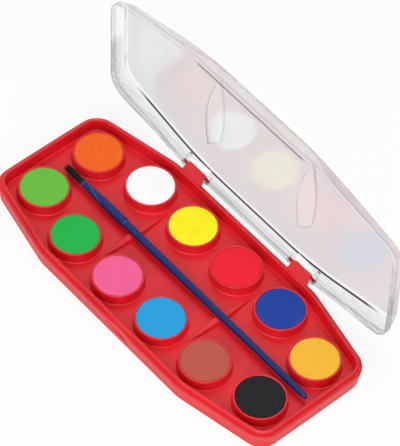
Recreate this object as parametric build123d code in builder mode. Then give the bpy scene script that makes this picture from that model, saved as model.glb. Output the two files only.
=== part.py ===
"""Watercolour paint box: a red moulded tray with twelve round paint tablets, a clear hinged
lid and a brush.  Millimetres, +Z up.  The origin is the centre of the tray's outline on the
surface that it stands on, +Y points to the hinge and +X along the box.  The lid is modelled
standing open, as it rests."""

from math import cos, pi, radians, sin, sqrt
import os

from build123d import *

os.makedirs("parts", exist_ok=True)

# Outline of the box at its ledge: a long hexagon whose ends are slightly bowed
half_length = 125.4
half_width = 55.1
side_corner_x = 63.4
end_half_width = 41.9
end_bow = 0.2
end_corner_r = 14.0
least_corner_r = 2.0
side_corner_r = 34.0

# Heights of the tray
ledge_z = 11.2
rim_height = 2.85
floor_z = 5.6
floor_thickness = 1.8

# Tray walls
wall_flare = 1.2
outer_wall = 1.5
edge_r = 0.5
ledge_thickness = 1.5
rim_inset = 2.05
rim_draft = 0.5
rim_width = 1.7
rim_top_r = 0.8
well_draft = 0.8
well_foot_r = 0.7
well_wall = 1.65

# Paint tablets and the cups that hold them
tablet_d = 30.0
tablet_thickness = 5.2
tablet_bevel = 0.5
tablet_clearance = 0.12
cup_seat_height = 1.8
cup_depth = 5.35
cup_rim_width = 1.15
cup_rim_r = 0.35
cup_draft = 0.45
cup_foot_fillet = 0.6
cup_to_side = 25.0
cup_to_end = 25.5

# Wedges between the mixing wells, widest and highest at the middle, where they carry the brush
divider_height = 3.5
divider_width = 4.0
divider_tip_height = 0.3
divider_tip_width = 0.7
divider_flat_y = 3.6
divider_tip_y = 26.5
divider_slope = 0.2
divider_ease = 0.25
divider_root = 0.3
saddle_length = 8.0
saddle_clearance = 0.05

# Finger scoop in the front of the ledge
scoop_x = 10.5
scoop_width = 23.0
scoop_depth = 1.1
scoop_height = 6.0

# Hinge
hinge_reach = 2.3
hinge_rise = 1.95
open_angle = 87.8
lug_from_corner = 14.8
lug_root_width = 17.0
lug_tip_width = 14.2
lug_root_depth = 1.1
lug_root_drop = 0.5
lug_top_drop = 0.12
knuckle_r = 2.1
pin_r = 1.2
pin_clearance = 0.05
ear_gap = 0.5
ear_thickness = 2.2
ear_r = 2.4
ear_below = 3.5
ear_above = 4.6
ear_root = 0.8
notch_clearance = 0.4

# Lid
lid_over_hinge = 6.15
lid_knee_over_rim = 0.55
lid_inset = 0.3
lid_side_inset = 0.3
lid_taper = 1.5
lid_end_taper = 0.8
lid_side_taper = 3.4
lid_side_turn = 0.057
lid_side_corner_r = 230.0
lid_wall = 0.9
lid_panel = 1.2
lid_seat_gap = 0.05
lid_corner_r = 1.6
lid_inner_r = 0.8
rear_relief = 1.2
relief_past_corner = 20.6
relief_fade = 26.0
leaf_relief = 0.4
leaf_x = 41.0
leaf_tip = (3.7, -39.2)
leaf_right = (8.4, -10.4)
leaf_foot = [(6.1, 19.2), (-4.0, 29.8)]
leaf_left = (-6.6, 0.0)

# Brush
brush_height = 4.8
handle_to_end = 8.4
bristles_to_end = 18.8
bristle_length = 18.4
ferrule_length = 28.4
collar_length = 11.0
collar_r = 3.1
collar_front_r = 2.8
collar_edge = 0.5
handle_r = 2.5
handle_end_r = 2.05
handle_dome = 6.0
spigot_r = 1.9
spigot_length = 9.0
spigot_clearance = 0.02
ferrule_back_r = 2.85
ferrule_shoulder = 0.3
mouth_width = 4.6
mouth_height = 3.6
mouth_length = 4.5
mouth_wall = 0.4
backing_thickness = 1.6
backing_depth = 0.3
backing_clearance = 0.02

# Bristles: how the strands stand, swell and gather
strand_pitch = 0.152
strand_r = 0.062
strand_tip_r = 0.024
strand_margin = 0.07
strand_stations = (-0.05, 0.3, 0.65, 1)
swell_width = 0.3
swell_height = 0.12
swell_width_arc = 0.6
swell_height_arc = 0.8
gather = 0.1
shortest = 0.83
point_share = 0.13
lead_share = 0.04

# How far an added form reaches into what carries it, how far a cut runs past the surface, and
# how near an edge has to be to be taken
root_depth = 0.5
cut_past = 1.0
edge_search = 0.01
radius_search = 0.1

colours = {
    "front": ["light_green", "green", "pink", "light_blue", "brown", "black"],
    "back": ["orange", "white", "yellow", "red", "dark_blue", "gold"],
}

# Places that follow from the sizes
side_slope = (half_width - end_half_width) / (half_length - side_corner_x)
side_lean = sqrt(1 + side_slope**2)
rim_z = ledge_z + rim_height
underside_z = floor_z - floor_thickness
cup_seat_z = floor_z + cup_seat_height
cup_rim_z = cup_seat_z + cup_depth
cup_r = tablet_d / 2 + tablet_clearance
cup_foot_r = cup_r + cup_rim_width + cup_draft
cup_pitch = (half_length - cup_to_end) / 2.5
hinge_y = half_width + hinge_reach
hinge_z = rim_z + hinge_rise
lug_x = side_corner_x - lug_from_corner
ear_near = lug_root_width / 2 + ear_gap
lid_edge_z = ledge_z + lid_seat_gap
lid_knee_z = rim_z + lid_knee_over_rim
lid_top_z = hinge_z + lid_over_hinge
panel_z = lid_top_z - lid_panel
brush_z = floor_z + brush_height
handle_end_x = half_length - handle_to_end
bristle_tip_x = bristles_to_end - half_length
ferrule_x = bristle_tip_x + bristle_length
ferrule_back_x = ferrule_x + ferrule_length
collar_back_x = ferrule_back_x + collar_length


def box_outline(inset, ends=0.0, sides=0.0, turn=0.0, side_r=side_corner_r):
    """Draws the outline of the box as a face, drawn in all round by inset.

    The ends are drawn in by as much more as ends says, and the four slanting sides by sides.
    The slanting sides are steeper by turn, and the corners between them and the long sides are
    rounded with side_r less inset."""
    slope = side_slope + turn
    slant_inset = (inset + sides) * sqrt(1 + slope**2)
    x_end = half_length - inset - ends
    y_mid = half_width - inset
    y_end = half_width - slope * (x_end - side_corner_x) - slant_inset
    x_side = side_corner_x + (inset - slant_inset) / slope
    corners = [(x_side, -y_mid), (x_end, -y_end), (x_end, y_end), (x_side, y_mid)]
    mirrored = [(-x, y) for x, y in reversed(corners)]
    with BuildLine() as edge:
        Polyline(corners[0], corners[1])
        ThreePointArc(corners[1], (x_end + end_bow, 0), corners[2])
        Polyline(corners[2], corners[3], mirrored[0], mirrored[1])
        ThreePointArc(mirrored[1], (-x_end - end_bow, 0), mirrored[2])
        Polyline(mirrored[2], mirrored[3], corners[0])
    make_face(edge.edges())
    between = (x_side + x_end) / 2
    fillet(vertices().filter_by(lambda v: abs(v.X) > between), max(end_corner_r - inset, least_corner_r))
    fillet(vertices().filter_by(lambda v: abs(v.X) < between), side_r - inset)


def cup_places():
    """Centres of the twelve cups, six in front and six at the back, from left to right.

    They keep the same distance from the long and from the slanting sides of the box."""
    columns = []
    for x in (-2.5 * cup_pitch, -1.5 * cup_pitch, -0.5 * cup_pitch):
        slant_y = half_width + side_slope * (x + side_corner_x) - cup_to_side * side_lean
        columns.append((x, min(half_width - cup_to_side, slant_y)))
    columns += [(-x, y) for x, y in reversed(columns)]
    return [(x, -y) for x, y in columns], columns


def lid_level(z):
    """Sketch plane at height z of the closed lid, carried round with the lid as it stands open."""
    turn = radians(open_angle)
    origin_y = hinge_y - hinge_y * cos(turn) + (z - hinge_z) * sin(turn)
    origin_z = hinge_z + hinge_y * sin(turn) + (z - hinge_z) * cos(turn)
    return Plane(origin=(0, origin_y, origin_z), x_dir=(1, 0, 0), z_dir=(0, sin(turn), cos(turn)))


def lid_outline(z, wall=0.0):
    """Draws the lid's outline at height z, drawn in by wall.

    The lid is upright up to its knee, and from there it gets narrower towards its panel."""
    share = max(0, (z - lid_knee_z) / (lid_top_z - lid_knee_z))
    box_outline(
        lid_inset + wall + lid_taper * share,
        lid_end_taper * share,
        lid_side_inset + lid_side_taper * share,
        lid_side_turn * share,
        side_corner_r + (lid_side_corner_r - side_corner_r) * share,
    )


def lid_back():
    """Sketch plane along the lid, with X and the closed lid's height above its edge as Y."""
    turn = radians(open_angle)
    return Plane(
        origin=lid_level(lid_edge_z).origin,
        x_dir=(1, 0, 0),
        z_dir=(0, -cos(turn), sin(turn)),
    )


def lid_side(x):
    """Sketch plane across the lid at x, with the closed lid's Y and Z as its own X and Y."""
    turn = radians(open_angle)
    return Plane(
        origin=(x, lid_level(0).origin.Y, lid_level(0).origin.Z),
        x_dir=(0, cos(turn), -sin(turn)),
        z_dir=(1, 0, 0),
    )


def handle_radius(x):
    """Radius of the brush's handle at x, between the collar and the domed end."""
    along = (x - collar_back_x) / (handle_end_x - handle_dome - collar_back_x)
    return handle_r + (handle_end_r - handle_r) * along


def across_brush(x):
    """Sketch plane across the brush at x, centred on its axis, with +Y as its own X."""
    return Plane(origin=(x, 0, brush_z), x_dir=(0, 1, 0), z_dir=(1, 0, 0))


def strand_section(y, z, t):
    """Triangle of the strand rooted at y, z, at the fraction t of the bristles' free length.

    The bundle swells from its root and its ends gather in two points, the one on the +Y side
    longer, with the strands between them shorter."""
    mouth_reach = mouth_width / 2 - mouth_wall
    across = y / mouth_reach
    gathered = across - gather * t**2 * sin(2 * pi * (across - 0.5))
    point = abs(sin(pi * across))
    length = (ferrule_x - bristle_tip_x) * (shortest + point_share * point + lead_share * across)
    x = ferrule_x - length * t
    out = max(t, 0)
    y_here = gathered * mouth_reach * (1 + swell_width * sin(swell_width_arc * pi * out))
    z_here = z * (1 + swell_height * sin(swell_height_arc * pi * out))
    r = strand_r + (strand_tip_r - strand_r) * out
    corners = [radians(90), radians(210), radians(330)]
    points = [(x, y_here + r * cos(a), brush_z + z_here + r * sin(a)) for a in corners]
    return Wire.make_polygon(points, close=True)


def divider_section(height, width):
    """Draws a divider's cross-section on the floor of the tray, with its top edges eased."""
    foot = width / 2 + divider_slope * height
    top = width / 2
    Polygon(
        (-foot, -divider_root),
        (foot, -divider_root),
        (foot, 0),
        (top, height - divider_ease),
        (top - divider_ease, height),
        (divider_ease - top, height),
        (-top, height - divider_ease),
        (-foot, 0),
        align=None,
    )


front_places, back_places = cup_places()
well_inset = rim_inset + rim_draft + rim_width

# Space below the tray: a shallow recess, and the slot between the outer wall and the wells
slot_top_z = ledge_z - ledge_thickness
flare_here = wall_flare * ledge_thickness / ledge_z
with BuildPart() as underside:
    with BuildSketch(Plane.XY):
        box_outline(outer_wall + wall_flare)
    with BuildSketch(Plane.XY.offset(slot_top_z)):
        box_outline(outer_wall + flare_here)
    loft(ruled=True)
    with BuildSketch(Plane.XY.offset(underside_z)):
        box_outline(well_inset + well_draft - well_wall)
    extrude(amount=slot_top_z, mode=Mode.SUBTRACT)

# Hinge lug: it runs up from the rim, gets narrower on its way and carries a pin
rim_y = half_width - rim_inset
root_y = rim_y - lug_root_depth
rise = knuckle_r * sqrt(0.5)
with BuildPart() as lug:
    with BuildSketch(Plane.YZ):
        Polygon(
            (root_y, ledge_z - lug_root_drop),
            (half_width - lug_root_drop, ledge_z - lug_root_drop),
            (hinge_y, hinge_z - knuckle_r),
            (hinge_y, hinge_z),
            (hinge_y - rise, hinge_z + rise),
            (rim_y - rim_draft, rim_z - lug_top_drop),
            (root_y, rim_z - lug_root_drop),
            align=None,
        )
        with Locations((hinge_y, hinge_z)):
            Circle(knuckle_r)
    extrude(amount=lug_root_width / 2, both=True)
    with BuildSketch():
        Polygon(
            (-lug_root_width / 2, root_y),
            (lug_root_width / 2, root_y),
            (lug_root_width / 2, rim_y),
            (lug_tip_width / 2, hinge_y + knuckle_r),
            (-lug_tip_width / 2, hinge_y + knuckle_r),
            (-lug_root_width / 2, rim_y),
            align=None,
        )
    extrude(amount=hinge_z + 2 * knuckle_r, mode=Mode.INTERSECT)
    with BuildSketch(Plane.YZ):
        with Locations((hinge_y, hinge_z)):
            Circle(pin_r)
    extrude(amount=ear_near + ear_thickness, both=True)

# Tray: one moulding
with BuildPart() as tray:
    # Outer wall up to the ledge, and the rim that rises inside it
    with BuildSketch(Plane.XY):
        box_outline(wall_flare)
    with BuildSketch(Plane.XY.offset(ledge_z)):
        box_outline(0)
    loft(ruled=True)
    fillet(tray.edges().group_by(Axis.Z)[-1], edge_r)
    fillet(tray.edges().group_by(Axis.Z)[0], edge_r)
    with BuildSketch(Plane.XY.offset(ledge_z - root_depth)):
        box_outline(rim_inset)
    with BuildSketch(Plane.XY.offset(ledge_z)):
        box_outline(rim_inset)
    loft(ruled=True)
    with BuildSketch(Plane.XY.offset(ledge_z)):
        box_outline(rim_inset)
    with BuildSketch(Plane.XY.offset(rim_z)):
        box_outline(rim_inset + rim_draft)
    loft(ruled=True)
    # Space inside the rim, narrower at the floor
    with BuildSketch(Plane.XY.offset(floor_z)):
        box_outline(well_inset + well_draft)
    with BuildSketch(Plane.XY.offset(rim_z)):
        box_outline(well_inset)
    loft(ruled=True, mode=Mode.SUBTRACT)
    fillet(tray.edges().group_by(Axis.Z)[-1], rim_top_r)
    well_edge = tray.edges().filter_by_position(Axis.Z, floor_z - edge_search, floor_z + edge_search)
    fillet(well_edge, well_foot_r)
    # Cups
    with BuildSketch(Plane.XY.offset(floor_z - root_depth)):
        with Locations(*front_places, *back_places):
            Circle(cup_foot_r)
    draft_angle = 180 / pi * cup_draft / (cup_rim_z - floor_z)
    extrude(amount=cup_rim_z - floor_z + root_depth, taper=draft_angle)
    with BuildSketch(Plane.XY.offset(cup_seat_z)):
        with Locations(*front_places, *back_places):
            Circle(cup_r)
    extrude(amount=cup_rim_z - cup_seat_z + cut_past, mode=Mode.SUBTRACT)
    cup_edges = tray.edges().filter_by(GeomType.CIRCLE)
    cup_edges = cup_edges.filter_by_position(
        Axis.Z, cup_rim_z - edge_search, cup_rim_z + edge_search
    )
    fillet(cup_edges, cup_rim_r)
    foot_edges = tray.edges().filter_by_position(Axis.Z, floor_z - edge_search, floor_z + edge_search)
    foot_edges = foot_edges.filter_by(GeomType.CIRCLE)
    foot_edges = foot_edges.filter_by(lambda e: abs(e.radius - cup_foot_r) < radius_search)
    fillet(foot_edges, cup_foot_fillet)
    add(underside.part, mode=Mode.SUBTRACT)
    # Dividers between the wells, which run out between the cups, with a saddle for the brush
    divider_stations = [
        (-divider_tip_y, divider_tip_height, divider_tip_width),
        (-divider_flat_y, divider_height, divider_width),
        (divider_flat_y, divider_height, divider_width),
        (divider_tip_y, divider_tip_height, divider_tip_width),
    ]
    for x in (-cup_pitch, cup_pitch):
        for y, height, width in divider_stations:
            with BuildSketch(Plane.XZ.offset(-y)):
                with Locations((x, floor_z)):
                    divider_section(height, width)
        loft(ruled=True)
        with BuildSketch(Plane.YZ.offset(x)):
            with Locations((0, brush_z)):
                Circle(handle_radius(x - saddle_length / 2) + saddle_clearance)
        extrude(amount=saddle_length / 2, both=True, mode=Mode.SUBTRACT)
    # Finger scoop in the front wall, just under the lid's edge
    scoop_r = (scoop_width**2 / 4 + scoop_depth**2) / (2 * scoop_depth)
    with BuildSketch(Plane.XY.offset(ledge_z - scoop_height)):
        with Locations((scoop_x, scoop_depth - half_width - scoop_r)):
            Circle(scoop_r)
    extrude(amount=scoop_height + cut_past, mode=Mode.SUBTRACT)
    # Hinge lugs on the back of the rim
    with Locations((-lug_x, 0, 0), (lug_x, 0, 0)):
        add(lug.part)
tray.part.label = "tray"
export_step(tray.part, "parts/tray.step")

# Paint tablets, one to a cup
for row, places in (("front", front_places), ("back", back_places)):
    for colour, place in zip(colours[row], places):
        with BuildPart() as tablet:
            with BuildSketch(Plane.XY.offset(cup_seat_z)):
                with Locations(place):
                    Circle(tablet_d / 2)
            extrude(amount=tablet_thickness)
            fillet(tablet.edges().group_by(Axis.Z)[-1], tablet_bevel)
        tablet.part.label = "tablet_" + colour
        export_step(tablet.part, "parts/tablet_" + colour + ".step")

# Lid: a clear shallow dish with slanting walls, modelled standing open
lid_up = Axis((0, 0, 0), lid_level(0).z_dir)
with BuildPart() as lid:
    for z in (lid_edge_z, lid_knee_z, lid_top_z):
        with BuildSketch(lid_level(z)):
            lid_outline(z)
    loft(ruled=True)
    fillet(lid.edges().group_by(lid_up)[-1], lid_corner_r)
    for z in (lid_edge_z, lid_knee_z, panel_z):
        with BuildSketch(lid_level(z)):
            lid_outline(z, lid_wall)
    loft(ruled=True, mode=Mode.SUBTRACT)
    panel_level = lid_level(panel_z).origin.dot(lid_up.direction)
    inner_edges = lid.edges().filter_by_position(
        lid_up, panel_level - edge_search, panel_level + edge_search
    )
    fillet(inner_edges, lid_inner_r)
    # The back edge is cut shorter, so that it swings past the tray's rim
    relief_x = side_corner_x + relief_past_corner
    with BuildSketch(lid_back()) as relief:
        Polygon(
            (-relief_x - relief_fade, 0),
            (-relief_x, rear_relief),
            (relief_x, rear_relief),
            (relief_x + relief_fade, 0),
            (relief_x + relief_fade, -rear_relief),
            (-relief_x - relief_fade, -rear_relief),
            align=None,
        )
    extrude(amount=-half_width, mode=Mode.SUBTRACT)
    # Ears that turn on the pins, and the notches between them for the lugs
    ear_root_y = half_width - lid_inset - ear_root
    ear_x = ear_near + ear_thickness / 2
    for x in (-lug_x - ear_x, -lug_x + ear_x, lug_x - ear_x, lug_x + ear_x):
        with BuildSketch(lid_side(x)):
            Polygon(
                (ear_root_y, hinge_z - ear_below),
                (hinge_y, hinge_z - ear_r),
                (hinge_y, hinge_z + ear_r),
                (ear_root_y - lid_taper, hinge_z + ear_above),
                align=None,
            )
            with Locations((hinge_y, hinge_z)):
                Circle(ear_r)
        extrude(amount=ear_thickness / 2, both=True)
    for x in (-lug_x, lug_x):
        with BuildSketch(lid_level(lid_edge_z)):
            with Locations((x, half_width)):
                Rectangle(
                    lug_root_width + 2 * notch_clearance,
                    2 * (lid_inset + lid_taper + lid_wall + pin_clearance),
                )
        extrude(amount=panel_z - lid_edge_z, mode=Mode.SUBTRACT)
        with BuildSketch(lid_side(x)):
            with Locations((hinge_y, hinge_z)):
                Circle(pin_r + pin_clearance)
        extrude(amount=ear_near + ear_thickness + cut_past, both=True, mode=Mode.SUBTRACT)
    # Two leaf shapes, raised outside and sunk inside
    for x in (-leaf_x, leaf_x):
        with BuildSketch(lid_level(lid_top_z)) as leaf:
            with BuildLine(Location((x, 0))):
                ThreePointArc(leaf_tip, leaf_right, leaf_foot[0])
                Line(leaf_foot[0], leaf_foot[1])
                ThreePointArc(leaf_foot[1], leaf_left, leaf_tip)
            make_face()
        extrude(amount=leaf_relief)
        with BuildSketch(lid_level(panel_z)):
            add(leaf.sketch_local)
        extrude(amount=leaf_relief, mode=Mode.SUBTRACT)
lid.part.label = "lid"
export_step(lid.part, "parts/lid.step")

# Brush handle: the spigot inside the ferrule, the collar and the tapered shaft, in one piece
with BuildPart() as brush_handle:
    brush_axis = Axis((0, 0, brush_z), (1, 0, 0))
    shaft_end = handle_end_x - handle_dome
    with BuildSketch(Plane(origin=(0, 0, brush_z), x_dir=(1, 0, 0), z_dir=(0, -1, 0))):
        with BuildLine():
            Polyline(
                (handle_end_x, 0),
                (ferrule_back_x - spigot_length, 0),
                (ferrule_back_x - spigot_length, spigot_r),
                (ferrule_back_x, spigot_r),
                (ferrule_back_x, collar_front_r),
                (ferrule_back_x + collar_edge, (collar_front_r + collar_r) / 2),
                (collar_back_x - collar_edge, collar_r),
                (collar_back_x, handle_r),
                (shaft_end, handle_end_r),
            )
            EllipticalCenterArc((shaft_end, 0), handle_dome, handle_end_r, arc_size=90)
        make_face()
    revolve(axis=brush_axis)
brush_handle.part.label = "brush_handle"
export_step(brush_handle.part, "parts/brush_handle.step")

# Ferrule: round where the handle goes in, flatter towards its mouth, and hollow
mouth_back_x = ferrule_x + mouth_length
backing_back_x = ferrule_x + backing_depth + backing_thickness
spigot_front_x = ferrule_back_x - spigot_length
bore_r = spigot_r + spigot_clearance
mouth_half = (mouth_width / 2, mouth_height / 2)
seat_half = (mouth_width / 2 - mouth_wall, mouth_height / 2 - mouth_wall)
throat_half = (seat_half[0] - ferrule_shoulder, seat_half[1] - ferrule_shoulder)
with BuildPart() as brush_ferrule:
    with BuildSketch(across_brush(ferrule_back_x)):
        Circle(ferrule_back_r)
    extrude(amount=-spigot_length)
    with BuildSketch(across_brush(spigot_front_x)):
        Circle(ferrule_back_r)
    with BuildSketch(across_brush(mouth_back_x)):
        Ellipse(*mouth_half)
    loft(ruled=True)
    with BuildSketch(across_brush(mouth_back_x)):
        Ellipse(*mouth_half)
    extrude(amount=-mouth_length)
    with BuildSketch(across_brush(ferrule_back_x)):
        Circle(bore_r)
    extrude(amount=-spigot_length - ferrule_shoulder, mode=Mode.SUBTRACT)
    with BuildSketch(across_brush(spigot_front_x)):
        Circle(bore_r - ferrule_shoulder)
    with BuildSketch(across_brush(mouth_back_x)):
        Ellipse(*throat_half)
    with BuildSketch(across_brush(backing_back_x)):
        Ellipse(*throat_half)
    loft(ruled=True, mode=Mode.SUBTRACT)
    with BuildSketch(across_brush(ferrule_x)):
        Ellipse(*seat_half)
    extrude(amount=backing_back_x - ferrule_x, mode=Mode.SUBTRACT)
brush_ferrule.part.label = "brush_ferrule"
export_step(brush_ferrule.part, "parts/brush_ferrule.step")

# Bristles: the strands and the slice that holds their roots inside the ferrule's mouth
backing_half = (seat_half[0] - backing_clearance, seat_half[1] - backing_clearance)
root_half = (backing_half[0] - strand_margin, backing_half[1] - strand_margin)
row_pitch = strand_pitch * sqrt(0.75)
rows = int(backing_half[1] / row_pitch)
columns = int(backing_half[0] / strand_pitch) + 1
strands = []
for row in range(-rows, rows + 1):
    z = row * row_pitch
    for column in range(-columns, columns + 1):
        y = (column + 0.5 * (row % 2)) * strand_pitch
        if (y / root_half[0]) ** 2 + (z / root_half[1]) ** 2 < 1:
            sections = [strand_section(y, z, t) for t in strand_stations]
            strands.append(Solid.make_loft(sections, ruled=True))
with BuildPart() as brush_bristles:
    with BuildSketch(across_brush(ferrule_x + backing_depth)):
        Ellipse(*backing_half)
    extrude(amount=backing_thickness)
    add(strands)
brush_bristles.part.label = "brush_bristles"
export_step(brush_bristles.part, "parts/brush_bristles.step")
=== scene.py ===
"""Dresses the watercolour paint box: glossy red tray, pressed paint tablets, clear lid and brush."""

from math import cos, pi, radians, sin, sqrt
import random

import bpy
from mathutils import Matrix, Vector


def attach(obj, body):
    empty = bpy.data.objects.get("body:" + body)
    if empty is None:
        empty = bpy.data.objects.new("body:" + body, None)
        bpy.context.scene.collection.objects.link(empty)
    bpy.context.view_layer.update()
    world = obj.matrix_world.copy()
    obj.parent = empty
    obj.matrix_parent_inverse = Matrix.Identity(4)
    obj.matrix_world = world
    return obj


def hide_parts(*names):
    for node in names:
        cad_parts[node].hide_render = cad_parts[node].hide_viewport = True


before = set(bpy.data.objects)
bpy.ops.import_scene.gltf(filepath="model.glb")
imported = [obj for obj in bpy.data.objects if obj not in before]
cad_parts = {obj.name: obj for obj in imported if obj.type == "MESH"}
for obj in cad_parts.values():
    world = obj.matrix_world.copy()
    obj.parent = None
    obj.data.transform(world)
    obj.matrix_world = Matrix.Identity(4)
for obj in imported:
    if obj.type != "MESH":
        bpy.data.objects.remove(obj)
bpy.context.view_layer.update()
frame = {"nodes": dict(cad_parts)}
nodes = frame["nodes"]

# Paint colours as they look, red, green and blue from 0 to 255
paints = {
    "light_green": (107, 190, 66),
    "green": (38, 180, 76),
    "pink": (242, 98, 150),
    "light_blue": (40, 158, 219),
    "brown": (186, 88, 74),
    "black": (30, 29, 33),
    "orange": (243, 102, 32),
    "white": (252, 252, 252),
    "yellow": (250, 236, 34),
    "red": (236, 32, 52),
    "dark_blue": (34, 65, 155),
    "gold": (243, 184, 56),
}

# Lid, as it stands open: how far it is turned, and how far its panel's inner face then lies
# along the closed lid's height axis, in metres
lid_turn = radians(87.8)
panel_level = 0.06292

# Masks on the open lid, in metres: where each starts and where it is full. Foot and head lie
# along Z and the rest along X, where middle and inner count from the lid's middle.
foot_reach = (0.08, 0.07)
head_reach = (0.085, 0.095)
middle_reach = (0.048, 0.045)
inner_reach = (0.112, 0.1)
right_leaf_reach = (0.0402, 0.0422)
left_leaf_reach = (-0.038, -0.0402)
# Painted light: where the panel starts and stops growing paler towards its right end
painted_light_reach = (0.03, 0.09)

# Masks by depth below the inner face of the lid's panel, in metres: where each starts and is
# full, and where a band fades and stops
panel_depths = (0.0012, 0.0006)
# Painted shade on the slanted sides grows over this depth
side_shade_depths = (0.001, 0.007)
# The edge, leaf outline, corner and knee masks place painted shade along the lid's bends
edge_shade_depths = (0.0089, 0.0094)
leaf_outline_shade_depths = (-0.00002, -0.00008)
corner_shade_band = (0.00002, 0.00015, 0.0006, 0.0009)
knee_shade_band = (0.0060, 0.0063, 0.0066, 0.0070)
# Painted highlight on the leaves' faces lies in this band
leaf_highlight_band = (-0.0003, -0.00038, -0.0006, -0.0008)

# How much the lid covers what lies behind it
side_cover = 0.62
panel_cover = 0.45

# Grooves round the brush, darkened with painted shade: place along X and half width, in metres
handle_grooves = [(-0.0491, 0.0004)]
ferrule_grooves = [(-0.0602, 0.0004), (-0.0843, 0.0003)]

# Painted highlights where creases catch the light: place, half width, metres along X per metre of Y
handle_highlights = [(-0.0484, 0.0004, 0.0)]
ferrule_highlights = [(-0.0806, 0.0011, 3.8), (-0.0876, 0.0004, 0.0)]

# Hairs, in metres: where they leave the ferrule and end, how high the brush's axis lies, and
# how far the bundle reaches from it
hair_root_x = -0.0882
hair_tip_x = -0.1066
brush_z = 0.0104
bundle_half_width = 0.00186
bundle_half_height = 0.00136

# How many hairs there are, in how many steps each is drawn, how deep it starts in the ferrule,
# its radius, by what share its tip is thinner, and how far its tip may bend
hair_count = 900
hair_steps = 9
hair_root_depth = 0.0012
hair_radius = 0.00006
hair_taper = 0.75
bend_y = 0.00008
bend_z = 0.00006

# How the bundle gathers in two points and swells, and what sets the length of its hairs
gather = 0.1
swell_width = 0.3
swell_width_arc = 0.6
swell_height = 0.12
swell_height_arc = 0.8
shortest = 0.83
point_share = 0.13
lead_share = 0.04

# Camera, as solved from the photograph: its angles in degrees, the point that it looks at and
# how far off that is in metres, its focal length and the photograph's longer side in pixels,
# and the width of its sensor in millimetres
camera_azimuth = 44.97
camera_elevation = 52.54
camera_roll = 5.07
camera_aim = (-0.01894, 0.03462, 0.0126)
camera_distance = 1.99392
focal_pixels = 3271.34
photo_pixels = 446
sensor_width = 36


def shade(colour):
    """Turns a colour from 0 to 255, as it looks, into the linear one that a shader takes."""
    linear = []
    for level in colour:
        level = level / 255
        linear.append(level / 12.92 if level <= 0.04045 else ((level + 0.055) / 1.055) ** 2.4)
    return (*linear, 1.0)


class Signal:
    """An output of a node. Arithmetic on it adds Math nodes."""

    def __init__(self, nodes, socket):
        self.nodes = nodes
        self.socket = socket

    def maths(self, operation, *values):
        return self.nodes.add("Math", {"operation": operation}, dict(enumerate(values)))

    def __add__(self, other):
        return self.maths("ADD", self, other)

    __radd__ = __add__

    def __sub__(self, other):
        return self.maths("SUBTRACT", self, other)

    def __rsub__(self, other):
        return self.maths("SUBTRACT", other, self)

    def __mul__(self, other):
        return self.maths("MULTIPLY", self, other)

    __rmul__ = __mul__

    def __abs__(self):
        return self.maths("ABSOLUTE", self)


class Nodes:
    """The nodes of a material or of the world."""

    def __init__(self, owner):
        owner.use_nodes = True
        self.tree = owner.node_tree

    def add(self, kind, settings=None, sockets=None, out=0):
        """Adds a node, with its settings first and its sockets next, and returns an output."""
        node = self.tree.nodes.new("ShaderNode" + kind)
        for name, value in (settings or {}).items():
            setattr(node, name, value)
        for name, value in (sockets or {}).items():
            self.feed(node.inputs[name], value)
        return Signal(self, node.outputs[out])

    def feed(self, socket, value):
        """Links a signal to a socket, or sets the socket to a plain value."""
        if isinstance(value, Signal):
            self.tree.links.new(value.socket, socket)
        else:
            socket.default_value = value

    def ends(self, value, start, stop, low=0.0, high=1.0, smooth=False):
        """Runs from low to high as value goes from start to stop, and stays within them."""
        curve = "SMOOTHSTEP" if smooth else "LINEAR"
        limits = {"From Min": start, "From Max": stop, "To Min": low, "To Max": high}
        return self.add(
            "MapRange", {"clamp": True, "interpolation_type": curve}, {"Value": value, **limits}
        )

    def band(self, value, start, full, fading, stop):
        """1 from full to fading, and 0 before start and after stop."""
        return self.ends(value, start, full) * self.ends(value, stop, fading)

    def mix(self, first, second, amount):
        """Mixes two colours by amount."""
        sockets = {"Factor": amount, 6: first, 7: second}
        return self.add("Mix", {"data_type": "RGBA"}, sockets, out=2)

    def coordinate(self, kind, letter):
        """One part of a texture coordinate of the given kind."""
        place = self.add("TexCoord", out=kind)
        return self.add("SeparateXYZ", sockets={0: place}, out=letter)

    def seen(self, mirrored):
        """1 for what shows directly or through the clear lid, and in reflections if mirrored."""
        rays = self.add("LightPath", out="Is Camera Ray")
        rays = rays + self.add("LightPath", out="Is Transmission Ray")
        if mirrored:
            rays = rays + self.add("LightPath", out="Is Glossy Ray")
        return self.ends(rays, 0, 1)


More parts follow.
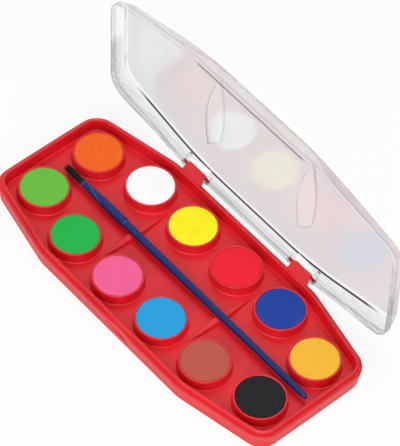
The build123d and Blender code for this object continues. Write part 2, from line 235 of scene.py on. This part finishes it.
class Finish(Nodes):
    """A material, built from its shader outwards."""

    def __init__(self, name, **sockets):
        self.material = bpy.data.materials.new(name)
        super().__init__(self.material)
        self.shader = self.tree.nodes["Principled BSDF"]
        self.wear(**sockets)

    def wear(self, **sockets):
        """Sets or feeds the shader's sockets, named with underlines for their spaces."""
        for name, value in sockets.items():
            self.feed(self.shader.inputs[name.replace("_", " ")], value)

    def axis(self, letter):
        """One coordinate of the point on the surface, in metres."""
        return self.coordinate("Object", letter)

    def facing(self, letter):
        """How far the surface faces along one axis, from -1 to 1."""
        return self.coordinate("Normal", letter)

    def mottle(self, grain, detail=3.0, stretch=(1, 1, 1)):
        """Soft noise round 0.5 with patches of about grain metres."""
        place = self.add("TexCoord", out="Object")
        scale = tuple(s / grain for s in stretch)
        scaled = self.add("VectorMath", {"operation": "MULTIPLY"}, {0: place, 1: scale})
        return self.add("TexNoise", None, {"Vector": scaled, "Scale": 1.0, "Detail": detail})

    def spread(self, noise, low=0.0, high=1.0):
        """Spreads noise, most of which lies between 0.3 and 0.7, over the way from low to high."""
        return self.ends(noise, 0.3, 0.7, low, high)

    def relief(self, height, depth, strength):
        """A bump of the given depth in metres."""
        return self.add("Bump", None, {"Strength": strength, "Distance": depth, "Height": height})

    def ring(self, place, half_width, tilt=0.0):
        """A mask that is 1 on a line round the brush at place along X and 0 away from it.

        Where tilt isn't 0 the line runs aslant, tilt metres along X to a metre along Y."""
        along = self.axis("X") + tilt * self.axis("Y")
        return self.ends(abs(along - place), 0, half_width, 1, 0, smooth=True)


def tray_red():
    """Glossy moulded plastic, with the faintest flow marks and grain."""
    finish = Finish("tray_red_plastic", IOR=1.5)
    cloud = finish.mottle(0.03)
    grain = finish.mottle(0.0006, 2.0)
    finish.wear(
        Base_Color=finish.mix(shade((210, 19, 31)), shade((224, 26, 39)), finish.spread(cloud)),
        Roughness=finish.spread(cloud, 0.26, 0.38),
        Normal=finish.relief(grain, 0.00003, 0.5),
    )
    return finish.material


def paint_tablet(name, colour):
    """Pressed powder: matt, finely grained and a little uneven in colour."""
    finish = Finish("paint_" + name, IOR=1.4, Specular_IOR_Level=0.25)
    cloud = finish.mottle(0.006, 4.0)
    grain = finish.mottle(0.0004, 3.0)
    dark = shade([c * 0.97 for c in colour])
    light = shade([min(c * 1.02 + 1, 254) for c in colour])
    finish.wear(
        Base_Color=finish.mix(dark, light, finish.spread(0.6 * cloud + 0.4 * grain)),
        Roughness=finish.spread(cloud, 0.7, 0.88),
        Normal=finish.relief(grain, 0.00006, 0.6),
    )
    return finish.material


def lid_clear():
    """Clear moulded plastic with a faint flow haze, and painted shade in lines where it bends."""
    finish = Finish(
        "lid_clear_plastic", IOR=1.15, Specular_IOR_Level=0.1, Transmission_Weight=1.0
    )
    haze = finish.mottle(0.045, 2.0)
    streak = finish.mottle(0.0012, 2.0, (0.03, 1, 1))
    along, rise = finish.axis("X"), finish.axis("Z")
    depth = panel_level - sin(lid_turn) * finish.axis("Y") - cos(lid_turn) * rise

    # Places on the lid as it stands: its foot and its head, its middle, all but its two ends,
    # and the sides of the leaves that face these ends
    foot, head = finish.ends(rise, *foot_reach), finish.ends(rise, *head_reach)
    middle, inner = finish.ends(abs(along), *middle_reach), finish.ends(abs(along), *inner_reach)
    leaf_side = finish.ends(along, *right_leaf_reach) + finish.ends(along, *left_leaf_reach)

    # Painted shade along the plastic's bends, each faint and then stronger where the photograph has
    # it so
    corner = finish.band(depth, *corner_shade_band) * (0.12 + 0.88 * foot * inner)
    knee_shade = 0.25 * finish.band(depth, *knee_shade_band)
    edge_shade = finish.ends(depth, *edge_shade_depths) * (0.2 + 0.55 * head * middle)
    aslant = finish.facing("Y")
    upright = finish.ends(aslant * aslant, 0.3, 0.1)
    leaf_shade = finish.ends(depth, *leaf_outline_shade_depths) * upright * (0.6 + 1.2 * leaf_side)
    line = finish.ends(corner + knee_shade + edge_shade + leaf_shade, 0, 1)

    # Plain surfaces: the slanted sides, the panel and the two leaves; the sides get painted streaky
    # shade
    panel = finish.ends(depth, *panel_depths)
    side_shade = foot * finish.spread(streak, 0.3, 1) * finish.ends(depth, *side_shade_depths, 0.25, 1)
    sides = finish.mix(shade((250, 249, 252)), shade((132, 137, 136)), side_shade)
    # Painted light: the panel grows paler towards its right end, on top of its haze
    tone = finish.spread(haze) + finish.ends(along, *painted_light_reach, 0, 0.7)
    clear = finish.mix(shade((229, 230, 235)), shade((250, 251, 254)), finish.ends(tone, 0, 1.5))
    plain = finish.mix(sides, clear, panel)
    # Painted highlight: the faces of the two leaves are whitened
    plain = finish.mix(plain, shade((253, 253, 254)), finish.band(depth, *leaf_highlight_band))
    cover = side_cover - (side_cover - panel_cover) * panel
    # Painted shade: the bend lines darken the colour and hide more of what lies behind
    finish.wear(
        Base_Color=finish.mix(plain, shade((40, 16, 30)), line),
        Roughness=finish.spread(haze, 0.04, 0.1),
        Alpha=finish.ends(line + cover, 0, 1),
        Normal=finish.relief(haze, 0.0004, 0.3),
    )
    return finish.material


def brush_blue(name, grooves, highlights):
    """Blue moulded plastic: painted highlights on top, painted shade on its sides and in its
    grooves.
    """
    finish = Finish(name, IOR=1.5, Specular_IOR_Level=0.25)
    streak = finish.mottle(0.002, 3.0, (0.06, 1, 1))
    height = finish.mottle(0.0009, 2.0, (0.15, 1, 1)) * 0.15
    # Painted light and shade: the top, facing up, is lighter and the sides darker
    up = finish.ends(finish.facing("Z"), -0.1, 0.85)
    shaded_side = finish.mix(shade((2, 14, 58)), shade((5, 20, 70)), finish.spread(streak))
    lit_crown = finish.mix(shade((4, 36, 98)), shade((10, 46, 112)), finish.spread(streak))
    colour = finish.mix(shaded_side, lit_crown, up)
    for place, half_width in grooves:
        line = finish.ring(place, half_width)
        height = height - line
        # Painted shade darkens each groove
        colour = finish.mix(colour, shade((5, 18, 62)), 0.7 * line)
    for place, half_width, tilt in highlights:
        # Painted highlight: a lighter blue along each line, on faces that look up
        line = finish.ring(place, half_width, tilt) * up
        colour = finish.mix(colour, shade((84, 132, 208)), 0.75 * line)
    finish.wear(
        Base_Color=colour,
        Roughness=finish.spread(streak, 0.26, 0.4),
        Normal=finish.relief(height, 0.0002, 0.8),
    )
    return finish.material


def bristle_black():
    """Black hair with a soft shine."""
    finish = Finish("black_hair", IOR=1.5, Specular_IOR_Level=0.4)
    strand = finish.mottle(0.0006, 2.0, (0.05, 1, 1))
    finish.wear(
        Base_Color=finish.mix(shade((5, 5, 7)), shade((26, 25, 28)), finish.spread(strand)),
        Roughness=finish.spread(strand, 0.38, 0.55),
    )
    return finish.material


def floor_white():
    """A pale sheet that lights the tray from below and looks white, with a trace of shadow."""
    finish = Finish("floor_white", Specular_IOR_Level=0.1)
    cloud = finish.mottle(0.4, 2.0)
    finish.wear(
        Base_Color=finish.mix(shade((244, 244, 244)), shade((249, 249, 249)), cloud),
        Roughness=finish.spread(cloud, 0.85, 0.95),
    )
    white = finish.add("Emission", None, {"Color": (1, 1, 1, 1), "Strength": 1.0})
    sheet = Signal(finish, finish.shader.outputs[0])
    whitened = 0.85 * finish.seen(mirrored=False)
    shown = finish.add("MixShader", None, {0: whitened, 1: sheet, 2: white})
    finish.feed(finish.tree.nodes["Material Output"].inputs["Surface"], shown)
    return finish.material


def give(piece, material):
    """Puts one material on all of a piece."""
    piece.data.materials.clear()
    piece.data.materials.append(material)


def new_mesh(name, points, faces):
    """A smooth mesh object of the given points, in metres, and faces."""
    mesh = bpy.data.meshes.new(name)
    mesh.from_pydata(points, [], faces)
    for face in mesh.polygons:
        face.use_smooth = True
    mesh.update()
    piece = bpy.data.objects.new(name, mesh)
    bpy.context.scene.collection.objects.link(piece)
    return piece


def hair_line(across, up, length_share, bend):
    """Middle line of one hair, rooted at across and up, each from -1 to 1 over the bundle."""
    whole = shortest + point_share * abs(sin(pi * across)) + lead_share * across
    length = (hair_root_x - hair_tip_x) * whole * length_share
    line = []
    for step in range(hair_steps + 1):
        t = step / hair_steps
        gathered = across - gather * t**2 * sin(2 * pi * (across - 0.5))
        wide = 1 + swell_width * sin(swell_width_arc * pi * t)
        high = 1 + swell_height * sin(swell_height_arc * pi * t)
        x = hair_root_x + hair_root_depth - (length + hair_root_depth) * t
        y = gathered * bundle_half_width * wide + bend[0] * t**3
        z = up * bundle_half_height * high + bend[1] * t**3
        line.append(Vector((x, y, brush_z + z)))
    return line


def hairs():
    """The bundle of black hairs, swelling from the ferrule and gathered in two points."""
    chance = random.Random(7)
    points, faces = [], []
    for number in range(hair_count):
        # Roots lie on a sunflower's spiral, evenly over the mouth
        spread = sqrt((number + 0.5) / hair_count) * 0.98
        turn = number * pi * (3 - sqrt(5))
        across, up = spread * cos(turn), spread * sin(turn)
        bend = (chance.uniform(-bend_y, bend_y), chance.uniform(-bend_z, bend_z))
        line = hair_line(across, up, chance.uniform(0.9, 1.0), bend)
        start = len(points)
        for step, middle in enumerate(line):
            thick = hair_radius * (1 - hair_taper * (step / hair_steps) ** 2)
            for corner in range(3):
                angle = 2 * pi * corner / 3 + number
                points.append(middle + Vector((0, thick * cos(angle), thick * sin(angle))))
        for step in range(hair_steps):
            for corner in range(3):
                low, high = start + 3 * step, start + 3 * step + 3
                after = (corner + 1) % 3
                faces.append((low + corner, low + after, high + after, high + corner))
        last = start + 3 * hair_steps
        faces.append((start, start + 2, start + 1))
        faces.append((last, last + 1, last + 2))
    return new_mesh("bristle_hairs", points, faces)


def softbox(name, place, size, power):
    """A rectangular lamp at place, facing the box, with its power in watts."""
    lamp = bpy.data.lights.new(name, "AREA")
    lamp.shape = "RECTANGLE"
    lamp.size, lamp.size_y = size
    lamp.energy = power
    holder = bpy.data.objects.new(name, lamp)
    holder.location = place
    holder.rotation_mode = "QUATERNION"
    holder.rotation_quaternion = (-Vector(place)).to_track_quat("-Z", "Y")
    bpy.context.scene.collection.objects.link(holder)


def studio(world, low_light, high_light):
    """Even light, stronger from above than from the sides, in front of which all looks white."""
    nodes = Nodes(world)
    height = nodes.coordinate("Generated", "Z")
    glow = nodes.ends(height, 0.1, 0.7, low_light, high_light, smooth=True)
    strength = glow + nodes.seen(mirrored=True) * (1 - glow)
    background = nodes.tree.nodes["Background"]
    nodes.feed(background.inputs["Color"], (1, 1, 1, 1))
    nodes.feed(background.inputs["Strength"], strength)


def photo_camera():
    """The camera at the photograph's place, rolled about the line along which it looks."""
    azimuth, elevation, roll = map(radians, (camera_azimuth, camera_elevation, camera_roll))
    away = Vector((sin(azimuth) * cos(elevation), -cos(azimuth) * cos(elevation), sin(elevation)))
    level = (-away).cross(Vector((0, 0, 1))).normalized()
    rise = level.cross(-away)
    right = level * cos(roll) + rise * sin(roll)
    upward = rise * cos(roll) - level * sin(roll)
    lens = bpy.data.cameras.new("camera")
    lens.sensor_width = sensor_width
    lens.lens = sensor_width * focal_pixels / photo_pixels
    lens.clip_start, lens.clip_end = 0.05, 50
    camera = bpy.data.objects.new("camera", lens)
    turned = Matrix((right, upward, away)).transposed().to_4x4()
    camera.matrix_world = Matrix.Translation(Vector(camera_aim) + away * camera_distance) @ turned
    bpy.context.scene.collection.objects.link(camera)
    return camera


# Materials on the CAD nodes
give(nodes["tray"], tray_red())
give(nodes["lid"], lid_clear())
for paint, colour in paints.items():
    give(nodes["tablet_" + paint], paint_tablet(paint, colour))
give(nodes["brush_handle"], brush_blue("brush_blue_handle", handle_grooves, handle_highlights))
give(nodes["brush_ferrule"], brush_blue("brush_blue_ferrule", ferrule_grooves, ferrule_highlights))

bristles = hairs()
give(bristles, bristle_black())
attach(bristles, "brush")
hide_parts("brush_bristles")

# Floor, light and camera
floor = new_mesh("floor_sheet", [(-6, -6, 0), (6, -6, 0), (6, 6, 0), (-6, 6, 0)], [(0, 1, 2, 3)])
give(floor, floor_white())
world = bpy.data.worlds.new("studio")
bpy.context.scene.world = world
studio(world, low_light=0.3, high_light=0.52)
softbox("top_lamp", place=(0.05, 0.1, 1.6), size=(0.4, 0.4), power=5.6)
softbox("front_lamp", place=(0.8, -1.1, 0.8), size=(1.3, 1.0), power=15)
bpy.context.scene.camera = photo_camera()

bpy.context.scene.view_settings.view_transform = "Standard"
